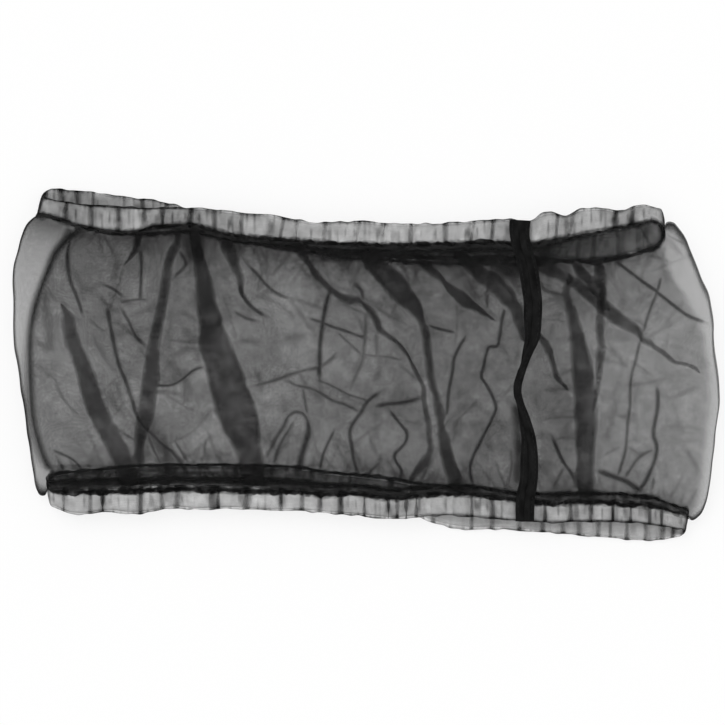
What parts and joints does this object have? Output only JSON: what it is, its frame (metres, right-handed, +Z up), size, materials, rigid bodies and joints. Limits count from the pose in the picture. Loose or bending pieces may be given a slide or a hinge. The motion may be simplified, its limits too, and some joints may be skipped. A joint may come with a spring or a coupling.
{
  "type": "beekeeping veil",
  "caption": "Tube of fine black net with a gathered elastic rim at each end and a bound side seam, laid flat. It stretches over a hat's brim to keep bees off the face.",
  "frame": {"origin": "on the table under the middle of the veil as it lies flat", "axes": "+X across the veil along its rims, +Y from the lower rim to the upper one, +Z up from the table"},
  "size_m": [0.632, 0.294, 0.0325],
  "materials": {
    "net": "fine black nylon net, see-through",
    "casing_net": "the same net, doubled and gathered",
    "elastic": "woven white elastic",
    "seam": "black net bunched tight and stitched",
    "tape": "black woven binding",
    "thread": "black polyester thread"
  },
  "bodies": {
    "root": {"net_tube": "net", "top_casing": "casing_net", "bottom_casing": "casing_net", "top_elastic": "elastic", "bottom_elastic": "elastic", "top_elastic_tacks": "thread", "bottom_elastic_tacks": "thread", "top_gathering_seam": "seam", "bottom_gathering_seam": "seam", "side_seam_tape": "tape", "side_seam_stitches": "thread"}
  },
  "joints": []
}
